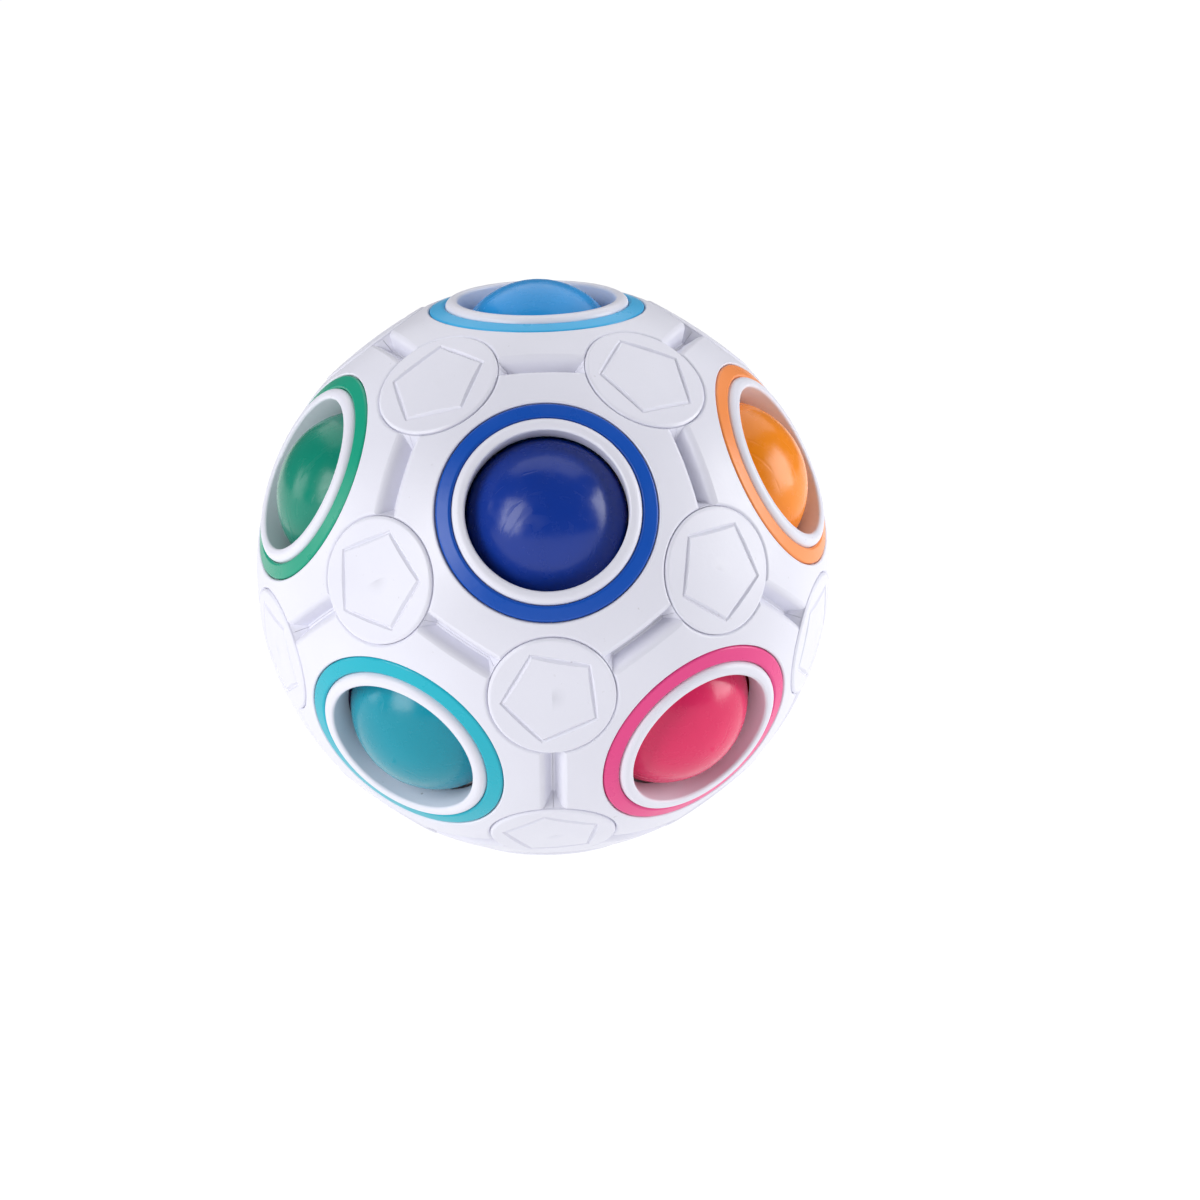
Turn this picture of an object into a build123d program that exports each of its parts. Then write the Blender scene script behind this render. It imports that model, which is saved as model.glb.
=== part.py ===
from build123d import *
from itertools import combinations
from math import asin, atan, cos, degrees, radians, sin, sqrt, tan
import os

os.makedirs("parts", exist_ok=True)

# Ball-shifting puzzle: a hollow ball of 12 face plates with a round window in each, 11 coloured
# balls that springs press into the windows, and one window left empty.
# Millimetres, +Z up. The origin is the middle of the rim that the ball stands on.
# Most pieces are drawn in a frame whose origin is the centre of the ball and whose Z runs out
# through a window or a corner, and then placed by the planes of the windows and the corners.

# Shell
OUTER_RADIUS = 34.8
INNER_RADIUS = 32.0
PLATE_GAP = 0.04
WINDOW_RADIUS = 9.5
COLLAR_RADIUS = 11.0
RIM_HEIGHT = 33.5
RIM_INNER_ROUNDING = 0.35
RIM_OUTER_ROUNDING = 0.9
LIP_HEIGHT = 30.0
CUTTER_TOP = 36.0

# Coloured rings
CHANNEL_RADIUS = 13.0
CHANNEL_FLOOR = 31.6
CHANNEL_ROUNDING = 0.2
RING_SURFACE = 34.72
RING_INNER_CLEARANCE = 0.05
RING_OUTER_CLEARANCE = 0.12
RING_ROUNDING = 0.3

# V grooves along the edges between plates, with rounded lips and sloping ends
LIP_EDGE = 1.95
LIP_ROUNDING = 1.2
GROOVE_SLOPE = 25
GROOVE_FLOOR = 32.8
GROOVE_REACH = 6.5
GROOVE_END_DEPTH = 4.0
GROOVE_END_RUN = 1.2

# Corners
CAP_RADIUS = 7.46
SEAT_RADIUS = 7.5
SEAT_HEIGHT = 33.0
EAR_BOTTOM = 31.0
SEAT_EDGE = sqrt(OUTER_RADIUS**2 - SEAT_RADIUS**2)
CAP_TOP = 34.58
CAP_CROWN = 60.0
EDGE_BEVEL = 0.12
EDGE_ROUNDING = 0.4
PENTAGON_RADIUS = 5.9
PENTAGON_LINE_FLOOR = 0.1
PENTAGON_LINE_DEPTH = 0.3
PENTAGON_LINE_SLOPE = 44
BOSS_RADIUS = 5.2
BOSS_BOTTOM = 28.8
BOSS_PEG_DISTANCE = 3.6
CAP_PEG_DISTANCE = 5.9
PEG_RADIUS = 0.6
PEG_LENGTH = 1.1
PEG_CLEARANCE = 0.06
SCREW_HEAD_RADIUS = 2.6
SCREW_HEAD_HEIGHT = 0.8
SCREW_SHANK_RADIUS = 1.0
SCREW_TIP = 29.2
SCREW_SOCKET_RADIUS = 1.0
SCREW_SOCKET_DEPTH = 0.5
SCREW_CLEARANCE = 0.1

# Balls, springs and core
BALL_RADIUS = 10.3
BALL_DISTANCE = 25.3
CORE_RADIUS = 7.6
CORE_FLAT = 6.8
CORE_HOLLOW = 5.0
SPIGOT_RADIUS = 1.5
SPIGOT_TOP = 9.0
TONGUE_INNER = 5.9
TONGUE_OUTER = 6.5
TONGUE_LENGTH = 0.8
TONGUE_CLEARANCE = 0.05
WIRE_RADIUS = 0.25
SPRING_BASE_RADIUS = 2.6
SPRING_TOP_RADIUS = 4.2
SPRING_TURNS = 5
SPRING_CLEARANCE = 0.02
FREE_SPRING_TOP = 18.0

# A dodecahedron: the angle between neighbouring windows, and the angles from a window's axis to
# the middle of an edge and to a corner.
GOLDEN = (1 + sqrt(5)) / 2
WINDOW_ANGLE = degrees(atan(2))
EDGE_ANGLE = WINDOW_ANGLE / 2
CORNER_ANGLE = degrees(atan(2 / GOLDEN**2))

CENTRE = Vector(0, 0, RIM_HEIGHT)
ORIGIN = Vector(0, 0, 0)
UP = Vector(0, 0, 1)

UPPER_COLOURS = ["dark_blue", "orange", "yellow", "purple", "green"]
LOWER_COLOURS = ["pink", "red", "lime", "lilac", "teal"]
EMPTY_WINDOW = "white"

# Each cap is pressed in at an angle of its own. Degrees clockwise from the way up, seen from
# outside, for the five caps of a ring from the front right one around.
CAP_SPINS = {
    "caps_top": [0, 25, 61, 13, 48],
    "caps_upper": [34, 8, 52, 20, 11],
    "caps_lower": [48, 24, 66, 5, 49],
    "caps_bottom": [62, 58, 2, 36, 70],
}


def direction(polar, azimuth):
    """The unit vector at an angle from +Z and an angle around Z from +X."""
    across = sin(radians(polar))
    return Vector(
        across * cos(radians(azimuth)),
        across * sin(radians(azimuth)),
        cos(radians(polar)),
    )


def plane_toward(origin, axis, target):
    """The plane whose Z is the axis and whose X leans toward the target direction."""
    return Plane(origin=origin, x_dir=target - axis * target.dot(axis), z_dir=axis)


# The windows: one on top, five above the middle, five below it and the empty one underneath.
WINDOWS = {"light_blue": UP}
for place, colour in enumerate(UPPER_COLOURS):
    WINDOWS[colour] = direction(WINDOW_ANGLE, -90 + 72 * place)
for place, colour in enumerate(LOWER_COLOURS):
    WINDOWS[colour] = direction(180 - WINDOW_ANGLE, -54 + 72 * place)
WINDOWS[EMPTY_WINDOW] = -UP


def neighbours(first, second):
    """Whether two windows share an edge."""
    return abs(first.get_angle(second) - WINDOW_ANGLE) < 1


WINDOW_PLANES = {}
for colour, axis in WINDOWS.items():
    beside = next(other for other in WINDOWS.values() if neighbours(axis, other))
    WINDOW_PLANES[colour] = plane_toward(CENTRE, axis, beside)

# The corners: wherever three windows are neighbours of each other.
CORNERS = []
for trio in combinations(WINDOWS.values(), 3):
    if all(neighbours(first, second) for first, second in combinations(trio, 2)):
        axis = (trio[0] + trio[1] + trio[2]).normalized()
        CORNERS.append((axis, trio[0]))
CORNER_PLANES = [plane_toward(CENTRE, axis, window) for axis, window in CORNERS]


def turn_from_front(axis):
    """How far round from the front the axis stands, counted towards the right."""
    around = degrees(atan(axis.X / -axis.Y)) + (180 if axis.Y > 0 else 0)
    return round(around) % 360


# ---- face plate, in a window's frame -------------------------------------------------------

# The five sides, each facing out across its edge, and the five corners.
SIDES_OF_PLATE = []
CORNERS_OF_PLATE = []
for place in range(5):
    across = direction(EDGE_ANGLE + 90, 72 * place)
    SIDES_OF_PLATE.append(Plane(origin=across * (-PLATE_GAP / 2), z_dir=across))
    corner_axis = direction(CORNER_ANGLE, 36 + 72 * place)
    CORNERS_OF_PLATE.append(plane_toward(ORIGIN, corner_axis, UP))

# The middle of the first edge, and the way across it out of the plate.
edge_middle = direction(EDGE_ANGLE, 0)
edge_across = direction(EDGE_ANGLE + 90, 0)

with BuildPart() as groove:
    # A V with rounded lips, swept around the centre from under one cap to under the next
    half_sweep = degrees(asin(GROOVE_REACH / OUTER_RADIUS))
    sweep_axis = Axis(ORIGIN, edge_across)
    start = edge_middle.rotate(sweep_axis, -half_sweep)
    with BuildSketch(Plane(origin=ORIGIN, x_dir=start, z_dir=start.cross(edge_across))):
        with BuildLine():
            lip_centre = (OUTER_RADIUS - LIP_ROUNDING, -LIP_EDGE)
            lip = CenterArc(lip_centre, LIP_ROUNDING, 0, 90 - GROOVE_SLOPE)
            across_floor = lip_centre[1] + LIP_ROUNDING * cos(radians(GROOVE_SLOPE))
            across_floor += ((lip @ 1).X - GROOVE_FLOOR) * tan(radians(GROOVE_SLOPE))
            Polyline(
                lip @ 1,
                (GROOVE_FLOOR, across_floor),
                (GROOVE_FLOOR, LIP_ROUNDING),
                (CUTTER_TOP, LIP_ROUNDING),
                (CUTTER_TOP, -LIP_EDGE),
                lip @ 0,
            )
        make_face()
    revolve(axis=sweep_axis, revolution_arc=2 * half_sweep)

    # Each end slopes down from the seat of a cap
    for corner in (CORNERS_OF_PLATE[0], CORNERS_OF_PLATE[-1]):
        with BuildSketch(corner.offset(SEAT_EDGE)):
            Circle(SEAT_RADIUS)
        with BuildSketch(corner.offset(SEAT_EDGE - GROOVE_END_DEPTH)):
            Circle(SEAT_RADIUS + GROOVE_END_RUN)
        loft(mode=Mode.SUBTRACT)

with BuildPart() as corner_socket:
    # The seat of the cap, with a bevel at 45 degrees that is rounded into the outside
    with BuildSketch(Plane.XZ):
        with BuildLine():
            rounding_reach = OUTER_RADIUS - EDGE_ROUNDING
            rounding_middle = SEAT_RADIUS + EDGE_BEVEL + EDGE_ROUNDING * cos(radians(45))
            lean = degrees(asin(rounding_middle / rounding_reach))
            rounding_centre = (rounding_middle, rounding_reach * cos(radians(lean)))
            rounding = CenterArc(rounding_centre, EDGE_ROUNDING, 135, -45 - lean)
            bevel_foot = (rounding @ 0) - Vector(EDGE_BEVEL, EDGE_BEVEL)
            Polyline(
                rounding @ 0,
                bevel_foot,
                (SEAT_RADIUS, SEAT_HEIGHT),
                (0, SEAT_HEIGHT),
                (0, CUTTER_TOP),
                ((rounding @ 1).X, CUTTER_TOP),
                rounding @ 1,
            )
        make_face()
    revolve(axis=Axis.Z)
    with BuildSketch(Plane.XY.offset(SEAT_HEIGHT)):
        Circle(SCREW_SHANK_RADIUS + SCREW_CLEARANCE)
    extrude(amount=EAR_BOTTOM - SEAT_HEIGHT)
    with BuildSketch(Plane.XY.offset(SEAT_HEIGHT)):
        with Locations((CAP_PEG_DISTANCE, 0)):
            Circle(PEG_RADIUS + PEG_CLEARANCE)
    extrude(amount=-PEG_LENGTH - PEG_CLEARANCE)
    with BuildSketch(Plane.XY.offset(EAR_BOTTOM)):
        with Locations((BOSS_PEG_DISTANCE, 0)):
            Circle(PEG_RADIUS + PEG_CLEARANCE)
    extrude(amount=PEG_LENGTH + PEG_CLEARANCE)

with BuildPart() as face_plate:
    # Wall, channel and collar, turned around the window's axis
    with BuildSketch(Plane.XZ):
        wall_edge = CORNER_ANGLE + degrees(asin(SEAT_RADIUS / INNER_RADIUS))
        channel_top = degrees(asin(CHANNEL_RADIUS / OUTER_RADIUS))
        lip_end = degrees(asin(sqrt(INNER_RADIUS**2 - LIP_HEIGHT**2) / INNER_RADIUS))
        with BuildLine():
            outside = CenterArc((0, 0), OUTER_RADIUS, 90 - wall_edge, wall_edge - channel_top)
            inside = CenterArc((0, 0), INNER_RADIUS, 90 - wall_edge, wall_edge - lip_end)
            Line(outside @ 0, inside @ 0)
            Polyline(
                outside @ 1,
                (CHANNEL_RADIUS, CHANNEL_FLOOR),
                (COLLAR_RADIUS, CHANNEL_FLOOR),
                (COLLAR_RADIUS, RIM_HEIGHT),
                (WINDOW_RADIUS, RIM_HEIGHT),
                (WINDOW_RADIUS, LIP_HEIGHT),
                inside @ 1,
            )
        make_face()
    revolve(axis=Axis.Z)
    circles = face_plate.edges().filter_by(GeomType.CIRCLE).group_by(Axis.Z)
    fillet(circles[-2], CHANNEL_ROUNDING)
    fillet(face_plate.edges().group_by(Axis.Z)[-1].sort_by(SortBy.LENGTH)[-1], RIM_OUTER_ROUNDING)
    fillet(face_plate.edges().group_by(Axis.Z)[-1].sort_by(SortBy.LENGTH)[0], RIM_INNER_ROUNDING)

    # Ears at the corners, then the five sides
    for corner in CORNERS_OF_PLATE:
        with BuildSketch(corner.offset(EAR_BOTTOM)):
            Circle(SEAT_RADIUS)
        extrude(amount=SEAT_HEIGHT - EAR_BOTTOM)
    for side in SIDES_OF_PLATE:
        split(bisect_by=side, keep=Keep.BOTTOM)

    with PolarLocations(0, 5):
        add(groove.part, mode=Mode.SUBTRACT)
    with Locations(*CORNERS_OF_PLATE):
        add(corner_socket.part, mode=Mode.SUBTRACT)

for colour, plane in WINDOW_PLANES.items():
    with BuildPart(plane) as plate:
        add(face_plate.part)
    plate.part.label = f"plate_{colour}"
    export_step(plate.part, f"parts/{plate.part.label}.step")

# ---- coloured ring, in a window's frame ----------------------------------------------------

with BuildPart() as window_ring:
    with BuildSketch(Plane.XZ):
        ring_inner = COLLAR_RADIUS + RING_INNER_CLEARANCE
        ring_outer = CHANNEL_RADIUS - RING_OUTER_CLEARANCE
        outer_angle = degrees(asin(ring_outer / RING_SURFACE))
        inner_angle = degrees(asin(ring_inner / RING_SURFACE))
        with BuildLine():
            top = CenterArc((0, 0), RING_SURFACE, 90 - outer_angle, outer_angle - inner_angle)
            Polyline(top @ 1, (ring_inner, CHANNEL_FLOOR), (ring_outer, CHANNEL_FLOOR), top @ 0)
        make_face()
    revolve(axis=Axis.Z)
    top_face = window_ring.faces().filter_by(GeomType.SPHERE)
    fillet(top_face.edges().filter_by(GeomType.CIRCLE), RING_ROUNDING)

for colour, plane in WINDOW_PLANES.items():
    with BuildPart(plane) as ring:
        add(window_ring.part)
    ring.part.label = f"ring_{colour}"
    export_step(ring.part, f"parts/{ring.part.label}.step")

# ---- corner caps, screws and bosses, in a corner's frame ------------------------------------

with BuildPart() as corner_cap:
    # A low dome whose edge is rounded into a bevel at 45 degrees
    with BuildSketch(Plane.XZ):
        with BuildLine():
            dome_middle = CAP_TOP - CAP_CROWN
            edge_reach = CAP_CROWN - EDGE_ROUNDING
            edge_place = CAP_RADIUS - EDGE_BEVEL - EDGE_ROUNDING * cos(radians(45))
            edge_lean = degrees(asin(edge_place / edge_reach))
            dome = CenterArc((0, dome_middle), CAP_CROWN, 90 - edge_lean, edge_lean)
            edge_centre = (edge_place, dome_middle + edge_reach * cos(radians(edge_lean)))
            edge = CenterArc(edge_centre, EDGE_ROUNDING, 45, 45 - edge_lean)
            Polyline(
                dome @ 1,
                (0, SEAT_HEIGHT),
                (CAP_RADIUS, SEAT_HEIGHT),
                (edge @ 0) + Vector(EDGE_BEVEL, -EDGE_BEVEL),
                edge @ 0,
            )
        make_face()
    revolve(axis=Axis.Z)
    with BuildSketch(Plane.XY.offset(SEAT_HEIGHT)):
        Circle(SCREW_HEAD_RADIUS + SCREW_CLEARANCE)
    extrude(amount=SCREW_HEAD_HEIGHT + SCREW_CLEARANCE, mode=Mode.SUBTRACT)
    with BuildSketch(Plane.XY.offset(SEAT_HEIGHT)):
        with PolarLocations(CAP_PEG_DISTANCE, 3):
            Circle(PEG_RADIUS)
    extrude(amount=-PEG_LENGTH)

with BuildPart() as pentagon_line:
    # A V with a narrow floor, between a pentagon that widens upward and one that narrows
    edge_distance = PENTAGON_RADIUS * cos(radians(36))
    face_height = CAP_TOP - CAP_CROWN + sqrt(CAP_CROWN**2 - edge_distance**2)
    line_floor = Plane.XY.offset(face_height - PENTAGON_LINE_DEPTH)
    with BuildSketch(line_floor):
        RegularPolygon(PENTAGON_RADIUS + PENTAGON_LINE_FLOOR / 2, 5)
    extrude(amount=2 * PENTAGON_LINE_DEPTH, taper=-PENTAGON_LINE_SLOPE)
    with BuildSketch(line_floor):
        RegularPolygon(PENTAGON_RADIUS - PENTAGON_LINE_FLOOR / 2, 5)
    extrude(amount=2 * PENTAGON_LINE_DEPTH, taper=PENTAGON_LINE_SLOPE, mode=Mode.SUBTRACT)

caps_by_height = sorted(CORNERS, key=lambda corner: -corner[0].Z)
for ring_place, (node, spins) in enumerate(CAP_SPINS.items()):
    in_ring = caps_by_height[5 * ring_place : 5 * ring_place + 5]
    in_ring.sort(key=lambda corner: turn_from_front(corner[0]))
    seats = [plane_toward(CENTRE, axis, window) for axis, window in in_ring]
    faces = [
        plane_toward(CENTRE, axis, (UP - axis * axis.Z).rotate(Axis(ORIGIN, axis), -spin))
        for (axis, _), spin in zip(in_ring, spins)
    ]
    with BuildPart() as caps:
        with Locations(*seats):
            add(corner_cap.part)
        with Locations(*faces):
            add(pentagon_line.part, mode=Mode.SUBTRACT)
    caps.part.label = node
    export_step(caps.part, f"parts/{node}.step")

with BuildPart() as screw:
    with BuildSketch(Plane.XY.offset(SEAT_HEIGHT)):
        Circle(SCREW_HEAD_RADIUS)
    extrude(amount=SCREW_HEAD_HEIGHT)
    with BuildSketch(Plane.XY.offset(SCREW_TIP)):
        Circle(SCREW_SHANK_RADIUS)
    extrude(amount=SEAT_HEIGHT - SCREW_TIP)
    with BuildSketch(Plane.XY.offset(SEAT_HEIGHT + SCREW_HEAD_HEIGHT)):
        RegularPolygon(SCREW_SOCKET_RADIUS, 6)
    extrude(amount=-SCREW_SOCKET_DEPTH, mode=Mode.SUBTRACT)

with BuildPart(*CORNER_PLANES) as screws:
    add(screw.part)
screws.part.label = "corner_screws"
export_step(screws.part, "parts/corner_screws.step")

with BuildPart() as boss:
    with BuildSketch(Plane.XY.offset(BOSS_BOTTOM)):
        Circle(BOSS_RADIUS)
    extrude(amount=EAR_BOTTOM - BOSS_BOTTOM)
    with BuildSketch(Plane.XY.offset(BOSS_BOTTOM)):
        Circle(SCREW_SHANK_RADIUS)
    extrude(amount=EAR_BOTTOM - BOSS_BOTTOM, mode=Mode.SUBTRACT)
    with BuildSketch(Plane.XY.offset(EAR_BOTTOM)):
        with PolarLocations(BOSS_PEG_DISTANCE, 3):
            Circle(PEG_RADIUS)
    extrude(amount=PEG_LENGTH)

with BuildPart(*CORNER_PLANES) as bosses:
    add(boss.part)
bosses.part.label = "corner_bosses"
export_step(bosses.part, "parts/corner_bosses.step")

# ---- balls and springs, in a window's frame -------------------------------------------------

for colour, plane in WINDOW_PLANES.items():
    if colour != EMPTY_WINDOW:
        with BuildPart(plane.offset(BALL_DISTANCE)) as ball:
            Sphere(BALL_RADIUS)
        ball.part.label = f"ball_{colour}"
        export_step(ball.part, f"parts/{ball.part.label}.step")


def coil(top):
    """A conical spring from the core's flat up to a last turn whose wire is centred at top."""
    bottom = CORE_FLAT + WIRE_RADIUS + SPRING_CLEARANCE
    height = top - bottom
    flare = degrees(atan((SPRING_TOP_RADIUS - SPRING_BASE_RADIUS) / height))
    with BuildPart() as spring:
        with BuildLine() as path:
            Helix(
                pitch=height / SPRING_TURNS,
                height=height,
                radius=SPRING_BASE_RADIUS,
                center=(0, 0, bottom),
                cone_angle=flare,
            )
        with BuildSketch(Plane(origin=path.line @ 0, z_dir=path.line % 0)):
            Circle(WIRE_RADIUS)
        sweep(is_frenet=True)
    return spring.part


wire_to_ball = BALL_RADIUS + WIRE_RADIUS + SPRING_CLEARANCE
LOADED_SPRING_TOP = BALL_DISTANCE - sqrt(wire_to_ball**2 - SPRING_TOP_RADIUS**2)
loaded_coil = coil(LOADED_SPRING_TOP)
free_coil = coil(FREE_SPRING_TOP)
for colour, plane in WINDOW_PLANES.items():
    with BuildPart(plane) as spring:
        add(free_coil if colour == EMPTY_WINDOW else loaded_coil)
    spring.part.label = f"spring_{colour}"
    export_step(spring.part, f"parts/{spring.part.label}.step")

# ---- core ---------------------------------------------------------------------------------

with BuildPart(Plane(origin=CENTRE)) as core:
    Sphere(CORE_RADIUS)
    for plane in WINDOW_PLANES.values():
        split(bisect_by=plane.offset(CORE_FLAT), keep=Keep.BOTTOM)
    for plane in WINDOW_PLANES.values():
        with BuildSketch(plane.offset(CORE_FLAT)):
            Circle(SPIGOT_RADIUS)
        extrude(amount=SPIGOT_TOP - CORE_FLAT)
    Sphere(CORE_HOLLOW, mode=Mode.SUBTRACT)

middle = Plane(origin=CENTRE)
with BuildPart() as core_upper:
    add(core.part)
    split(bisect_by=middle, keep=Keep.TOP)
    with BuildSketch(middle):
        Circle(TONGUE_OUTER)
        Circle(TONGUE_INNER, mode=Mode.SUBTRACT)
    extrude(amount=-TONGUE_LENGTH)
core_upper.part.label = "core_upper"
export_step(core_upper.part, "parts/core_upper.step")

with BuildPart() as core_lower:
    add(core.part)
    split(bisect_by=middle, keep=Keep.BOTTOM)
    with BuildSketch(middle):
        Circle(TONGUE_OUTER + TONGUE_CLEARANCE)
        Circle(TONGUE_INNER - TONGUE_CLEARANCE, mode=Mode.SUBTRACT)
    extrude(amount=-TONGUE_LENGTH - TONGUE_CLEARANCE, mode=Mode.SUBTRACT)
core_lower.part.label = "core_lower"
export_step(core_lower.part, "parts/core_lower.step")
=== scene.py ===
import math

import bpy
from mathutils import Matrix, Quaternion, Vector


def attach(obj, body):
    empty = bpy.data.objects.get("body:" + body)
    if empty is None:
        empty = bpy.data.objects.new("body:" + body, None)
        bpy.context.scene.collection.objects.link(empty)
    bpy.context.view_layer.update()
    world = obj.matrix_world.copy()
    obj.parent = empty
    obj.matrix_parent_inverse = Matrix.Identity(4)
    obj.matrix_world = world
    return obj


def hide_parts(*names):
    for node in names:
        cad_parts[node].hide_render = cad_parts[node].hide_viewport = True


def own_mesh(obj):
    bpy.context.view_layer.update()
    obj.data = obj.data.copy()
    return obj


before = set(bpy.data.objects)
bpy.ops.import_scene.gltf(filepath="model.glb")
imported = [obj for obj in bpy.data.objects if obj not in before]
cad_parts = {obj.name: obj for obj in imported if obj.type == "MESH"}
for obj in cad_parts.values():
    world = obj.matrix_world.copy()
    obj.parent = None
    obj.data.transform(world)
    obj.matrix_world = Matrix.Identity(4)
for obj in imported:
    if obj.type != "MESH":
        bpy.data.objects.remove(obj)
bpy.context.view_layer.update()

# Ball-shifting puzzle: white shell of 12 face plates and 20 caps, coloured rings and balls.
# Metres, in the CAD model's frame: the ball stands on the origin, -Y is the front.

MM = 0.001
RIM_HEIGHT = 33.5 * MM
CENTRE = Vector((0, 0, RIM_HEIGHT))

# Colours as linear light
WHITE_PLASTIC = (0.78, 0.78, 0.88)
DUST = (0.22, 0.19, 0.17)
INNER_PLASTIC = (0.30, 0.31, 0.33)
SPRING_WIRE = (0.62, 0.62, 0.64)
SCREW_STEEL = (0.55, 0.56, 0.58)
PURE_WHITE = (1.0, 1.0, 1.0)
COLOURS = {
    "light_blue": {"ring": (0.050, 0.45, 0.82), "ball": (0.010, 0.31, 0.76)},
    "dark_blue": {"ring": (0.004, 0.080, 0.46), "ball": (0.004, 0.035, 0.30)},
    "orange": {"ring": (0.96, 0.30, 0.080), "ball": (0.96, 0.27, 0.006)},
    "yellow": {"ring": (0.92, 0.62, 0.03), "ball": (0.88, 0.56, 0.02)},
    "purple": {"ring": (0.19, 0.05, 0.40), "ball": (0.15, 0.035, 0.33)},
    "green": {"ring": (0.004, 0.34, 0.21), "ball": (0.002, 0.24, 0.16)},
    "pink": {"ring": (0.82, 0.06, 0.26), "ball": (0.78, 0.025, 0.13)},
    "red": {"ring": (0.70, 0.02, 0.03), "ball": (0.62, 0.012, 0.02)},
    "lime": {"ring": (0.30, 0.62, 0.05), "ball": (0.24, 0.52, 0.03)},
    "lilac": {"ring": (0.55, 0.36, 0.72), "ball": (0.48, 0.30, 0.66)},
    "teal": {"ring": (0.010, 0.44, 0.56), "ball": (0.002, 0.28, 0.38)},
    "white": {"ring": (0.74, 0.75, 0.78)},
}

# The roughness each material varies around, and the balls' range
WHITE_ROUGHNESS = 0.38
RING_ROUGHNESS = 0.3
INNER_ROUGHNESS = 0.55
WIRE_ROUGHNESS = 0.28
SCREW_ROUGHNESS = 0.25
BALL_SMOOTHEST = 0.17
BALL_ROUGHEST = 0.31
SCRATCH_ROUGHNESS = 0.15

# How much light each plastic mirrors. 0.5 is ordinary plastic.
MOULDED_SPECULAR = 0.5
RING_SPECULAR = 0.35
BALL_SPECULAR = 0.38

# Depth of the finest relief, and a scratch's depth as a multiple of the scuffs'
MOULD_GRAIN = 0.015 * MM
BALL_SCUFFS = 0.014 * MM
STEEL_MARKS = 0.010 * MM
SCRATCH_DEPTH = 1.2

FLOOR_HALF_WIDTH = 3.0
FLOOR_GREY = (0.10, 0.10, 0.10)
FLOOR_ROUGHNESS = 0.9
FLOOR_GLOW = 0.97
WORLD_LIGHT = 0.12

# The camera looks at AIM, a little off the ball's centre. Angles in degrees.
SENSOR_WIDTH = 36.0
LENS = 146.8
AIM = CENTRE + Vector((6.8, -1.3, -4.0)) * MM
CAMERA_AZIMUTH = -91.84
CAMERA_ELEVATION = 15.66
CAMERA_DISTANCE = 596 * MM
CAMERA_ROLL = -1.19


# ---- materials --------------------------------------------------------------------------------


def new_material(name):
    """A material, and its Principled shader."""
    material = bpy.data.materials.new(name)
    material.use_nodes = True
    return material, material.node_tree.nodes["Principled BSDF"]


def add_node(material, kind, **inputs):
    """A node of a kind, with numbers set on the sockets named (underscores for spaces)."""
    node = material.node_tree.nodes.new(kind)
    for name, value in inputs.items():
        node.inputs[name.replace("_", " ")].default_value = value
    return node


def link(material, output, target):
    material.node_tree.links.new(output, target)


def place_in_frame(material):
    """Coordinates in metres that stay with the piece as it moves."""
    return add_node(material, "ShaderNodeTexCoord").outputs["Object"]


def noise(material, coordinates, scale, detail=3.0, roughness=0.5):
    node = add_node(
        material, "ShaderNodeTexNoise", Scale=scale, Detail=detail, Roughness=roughness
    )
    link(material, coordinates, node.inputs["Vector"])
    return node.outputs["Fac"]


def between(material, value, low, high, from_low=0.3, from_high=0.7):
    """The value brought from one range into another, kept inside it."""
    node = add_node(
        material,
        "ShaderNodeMapRange",
        From_Min=from_low,
        From_Max=from_high,
        To_Min=low,
        To_Max=high,
    )
    link(material, value, node.inputs["Value"])
    return node.outputs["Result"]


def mixed_colour(material, share, first, second):
    """One colour turning into another with the share. Either may be a colour or an output."""
    node = material.node_tree.nodes.new("ShaderNodeMix")
    node.data_type = "RGBA"
    link(material, share, node.inputs["Factor"])
    for socket, colour in ((node.inputs["A"], first), (node.inputs["B"], second)):
        if isinstance(colour, tuple):
            socket.default_value = (*colour, 1.0)
        else:
            link(material, colour, socket)
    return node.outputs["Result"]


def darker(colour, share):
    return tuple(part * share for part in colour)


def scaled(material, value, factor):
    node = add_node(material, "ShaderNodeMath")
    node.operation = "MULTIPLY"
    node.inputs[1].default_value = factor
    link(material, value, node.inputs[0])
    return node.outputs["Value"]


def combined(material, operation, first, second):
    node = add_node(material, "ShaderNodeMath")
    node.operation = operation
    link(material, first, node.inputs[0])
    link(material, second, node.inputs[1])
    return node.outputs["Value"]


def bump(material, shader, height, distance):
    node = add_node(material, "ShaderNodeBump", Strength=1.0, Distance=distance)
    link(material, height, node.inputs["Height"])
    link(material, node.outputs["Normal"], shader.inputs["Normal"])


def dusted(material, coordinates, tone):
    """Specks of dust over a tone, gathered in patches."""
    grains = noise(material, coordinates, scale=1500.0, detail=1.0)
    specks = between(material, grains, low=0.0, high=1.0, from_low=0.74, from_high=0.80)
    spread = noise(material, coordinates, scale=90.0)
    patches = between(material, spread, low=0.0, high=0.5, from_low=0.5, from_high=0.7)
    return mixed_colour(material, combined(material, "MULTIPLY", specks, patches), tone, DUST)


def moulded_plastic(name, colour, roughness, specular=MOULDED_SPECULAR, dusty=False):
    """Satin moulded plastic: a faint drift of tone, uneven polish, a fine orange peel, dust."""
    material, shader = new_material(name)
    coordinates = place_in_frame(material)
    drift = between(material, noise(material, coordinates, scale=55.0), low=0.0, high=1.0)
    tone = mixed_colour(material, drift, darker(colour, 0.94), colour)
    if dusty:
        tone = dusted(material, coordinates, tone)
    link(material, tone, shader.inputs["Base Color"])
    polish = noise(material, coordinates, scale=260.0, detail=5.0)
    polished = between(material, polish, low=roughness - 0.05, high=roughness + 0.07)
    link(material, polished, shader.inputs["Roughness"])
    orange_peel = noise(material, coordinates, scale=1600.0, detail=2.0)
    bump(material, shader, orange_peel, MOULD_GRAIN)
    shader.inputs["Specular IOR Level"].default_value = specular
    return material


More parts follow.
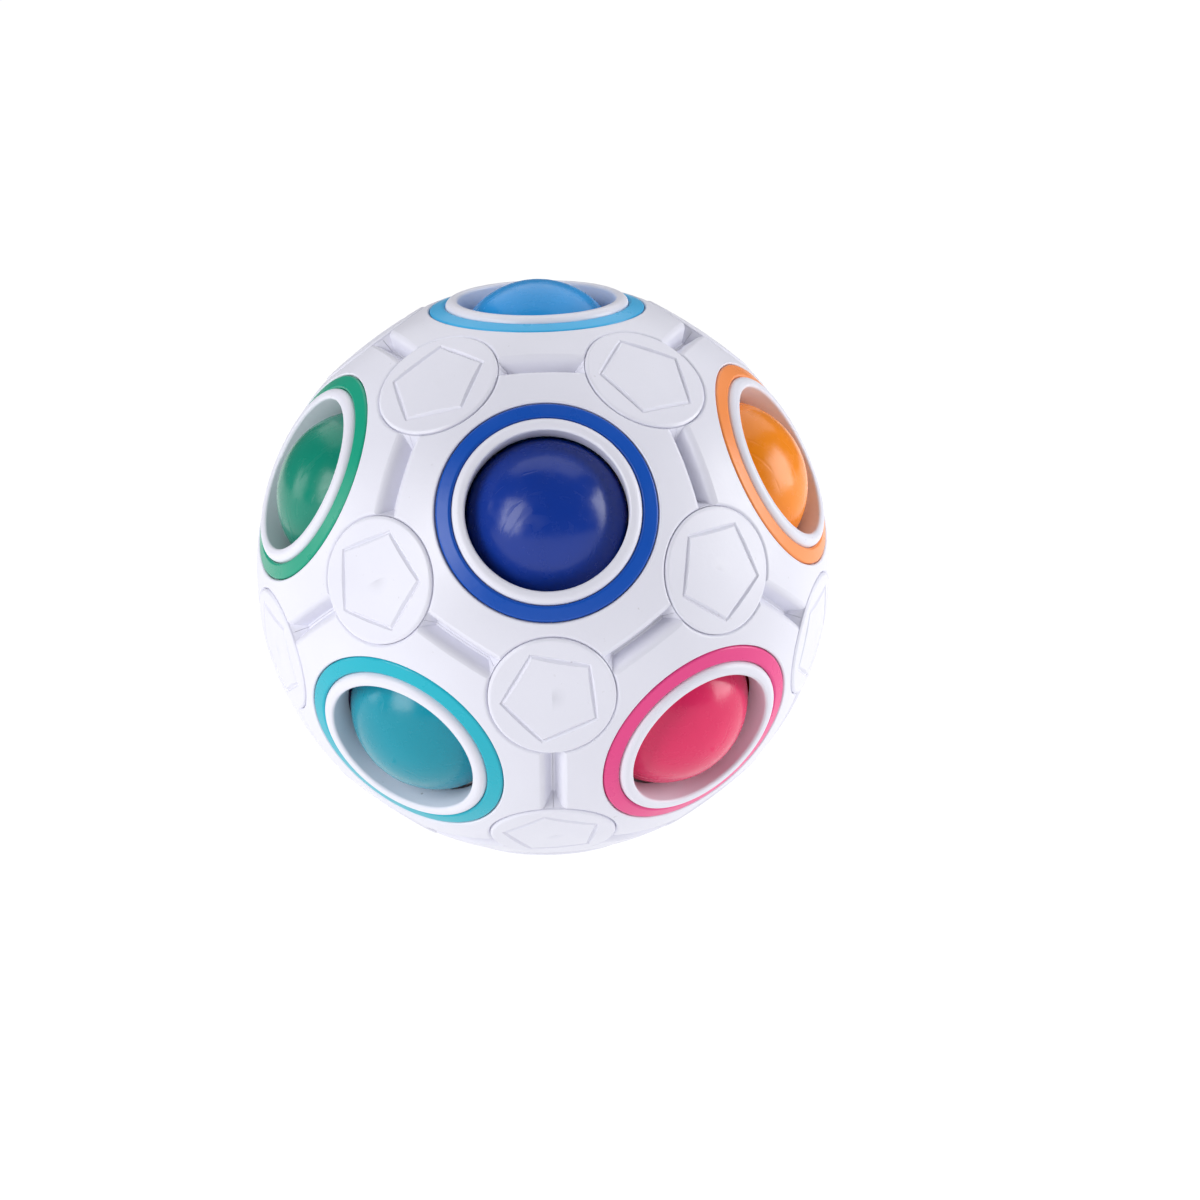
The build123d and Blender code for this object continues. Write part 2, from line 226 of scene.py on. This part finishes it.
def scratches(material, coordinates, turn, scale):
    """Fine lines that all run roughly one way: drawn-out noise, cut to its highest parts."""
    mapping = add_node(material, "ShaderNodeMapping", Rotation=turn, Scale=(1.0, 9.0, 1.0))
    link(material, coordinates, mapping.inputs["Vector"])
    streaks = noise(material, mapping.outputs["Vector"], scale, detail=1.0)
    return between(material, streaks, low=0.0, high=1.0, from_low=0.68, from_high=0.76)


def ball_plastic(name, colour):
    """Plastic worn by handling: fine scratches and scuffs that show where light glances off."""
    material, shader = new_material(name)
    coordinates = place_in_frame(material)
    drift = between(material, noise(material, coordinates, scale=120.0), low=0.0, high=1.0)
    tone = mixed_colour(material, drift, darker(colour, 0.9), colour)
    link(material, tone, shader.inputs["Base Color"])

    one_way = scratches(material, coordinates, turn=(0.3, 0.9, 0.2), scale=210.0)
    other_way = scratches(material, coordinates, turn=(1.2, 0.2, 0.8), scale=160.0)
    scratched = combined(material, "MAXIMUM", one_way, other_way)
    scuffs = noise(material, coordinates, scale=700.0, detail=5.0, roughness=0.6)
    polish = between(material, scuffs, low=BALL_SMOOTHEST, high=BALL_ROUGHEST)
    rougher = combined(material, "ADD", polish, scaled(material, scratched, SCRATCH_ROUGHNESS))
    link(material, rougher, shader.inputs["Roughness"])
    relief = combined(material, "ADD", scuffs, scaled(material, scratched, -SCRATCH_DEPTH))
    bump(material, shader, relief, BALL_SCUFFS)
    shader.inputs["Specular IOR Level"].default_value = BALL_SPECULAR
    return material


def drawn_steel(name, colour, roughness):
    """Steel with fine marks, darker and rougher in places."""
    material, shader = new_material(name)
    coordinates = place_in_frame(material)
    marks = noise(material, coordinates, scale=2200.0, detail=4.0)
    tone = between(material, marks, low=0.0, high=1.0)
    marked = mixed_colour(material, tone, darker(colour, 0.8), colour)
    link(material, marked, shader.inputs["Base Color"])
    polished = between(material, marks, low=roughness - 0.08, high=roughness + 0.1)
    link(material, polished, shader.inputs["Roughness"])
    shader.inputs["Metallic"].default_value = 1.0
    bump(material, shader, marks, STEEL_MARKS)
    return material


def give(node, material):
    """Puts one material in every slot of a CAD node."""
    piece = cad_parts[node]
    if not piece.data.materials:
        piece.data.materials.append(material)
    for slot in piece.material_slots:
        slot.material = material


white = moulded_plastic("white_plastic", WHITE_PLASTIC, WHITE_ROUGHNESS, dusty=True)
inner = moulded_plastic("inner_plastic", INNER_PLASTIC, INNER_ROUGHNESS)
wire = drawn_steel("spring_wire", SPRING_WIRE, WIRE_ROUGHNESS)
plated = drawn_steel("screw_steel", SCREW_STEEL, SCREW_ROUGHNESS)

for colour, tones in COLOURS.items():
    ring = f"ring_{colour}"
    give(ring, moulded_plastic(ring, tones["ring"], RING_ROUGHNESS, RING_SPECULAR))
    give(f"plate_{colour}", white)
    give(f"spring_{colour}", wire)
    if "ball" in tones:
        give(f"ball_{colour}", ball_plastic(f"ball_{colour}", tones["ball"]))
for node in ("caps_top", "caps_upper", "caps_lower", "caps_bottom"):
    give(node, white)
for node in ("core_upper", "core_lower", "corner_bosses"):
    give(node, inner)
give("corner_screws", plated)


# ---- springs ------------------------------------------------------------------------------------


def working_spring(colour):
    """A copy of a colour's wound spring, attached to the shell in place of the CAD spring, which
    is hidden.
    """
    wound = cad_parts[f"spring_{colour}"].data.copy()
    spring = bpy.data.objects.new(f"working_spring_{colour}", wound)
    bpy.context.scene.collection.objects.link(spring)
    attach(spring, "shell")
    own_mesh(spring)
    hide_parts(f"spring_{colour}")


# Every ball's window but the pink one gets a working spring, and so does the white window, which
# is empty.
for colour, tones in COLOURS.items():
    if "ball" in tones and colour != "pink":
        working_spring(colour)
working_spring("white")


# ---- floor, lights and camera -------------------------------------------------------------------


def make_floor():
    """A wide floor that glows just short of white."""
    mesh = bpy.data.meshes.new("floor")
    half = FLOOR_HALF_WIDTH
    corners = [(-half, -half, 0), (half, -half, 0), (half, half, 0), (-half, half, 0)]
    mesh.from_pydata(corners, [], [(0, 1, 2, 3)])
    floor = bpy.data.objects.new("floor", mesh)
    bpy.context.scene.collection.objects.link(floor)
    material, shader = new_material("floor")
    shader.inputs["Base Color"].default_value = (*FLOOR_GREY, 1.0)
    shader.inputs["Roughness"].default_value = FLOOR_ROUGHNESS
    shader.inputs["Specular IOR Level"].default_value = 0.0
    shader.inputs["Emission Color"].default_value = (*PURE_WHITE, 1.0)
    shader.inputs["Emission Strength"].default_value = FLOOR_GLOW
    floor.data.materials.append(material)


def outward(azimuth, elevation):
    """The unit vector at an azimuth and an elevation, in degrees."""
    around = math.radians(azimuth)
    up = math.radians(elevation)
    return Vector((math.cos(up) * math.cos(around), math.cos(up) * math.sin(around), math.sin(up)))


def soft_box(name, azimuth, elevation, distance, width, height, power):
    """A rectangular area light that faces the middle of the ball. Metres, degrees and watts."""
    light = bpy.data.lights.new(name, "AREA")
    light.shape = "RECTANGLE"
    light.size = width
    light.size_y = height
    light.energy = power
    lamp = bpy.data.objects.new(name, light)
    bpy.context.scene.collection.objects.link(lamp)
    way = outward(azimuth, elevation)
    lamp.location = CENTRE + way * distance
    lamp.rotation_euler = way.to_track_quat("Z", "Y").to_euler()


def make_world():
    world = bpy.data.worlds.new("studio")
    world.use_nodes = True
    background = world.node_tree.nodes["Background"]
    background.inputs["Color"].default_value = (*PURE_WHITE, 1.0)
    background.inputs["Strength"].default_value = WORLD_LIGHT
    bpy.context.scene.world = world


def make_camera():
    """A long lens in front and a little above, rolled by about a degree."""
    data = bpy.data.cameras.new("camera")
    data.sensor_width = SENSOR_WIDTH
    data.lens = LENS
    camera = bpy.data.objects.new("camera", data)
    bpy.context.scene.collection.objects.link(camera)
    back = outward(CAMERA_AZIMUTH, CAMERA_ELEVATION)
    camera.location = AIM + back * CAMERA_DISTANCE
    roll = Quaternion((0, 0, 1), math.radians(CAMERA_ROLL))
    camera.rotation_euler = (back.to_track_quat("Z", "Y") @ roll).to_euler()
    bpy.context.scene.camera = camera


make_floor()
make_world()
soft_box(
    "front_left_soft_box",
    azimuth=-138,
    elevation=21,
    distance=0.7,
    width=0.36,
    height=0.46,
    power=3.0,
)
soft_box(
    "back_left_soft_box",
    azimuth=174,
    elevation=12,
    distance=0.7,
    width=0.24,
    height=0.30,
    power=0.65,
)
soft_box(
    "right_soft_box",
    azimuth=0,
    elevation=14,
    distance=0.7,
    width=0.42,
    height=0.46,
    power=3.6,
)
soft_box(
    "back_soft_box",
    azimuth=82,
    elevation=60,
    distance=0.9,
    width=1.3,
    height=1.1,
    power=5.2,
)
make_camera()
bpy.context.scene.view_settings.view_transform = "Standard"
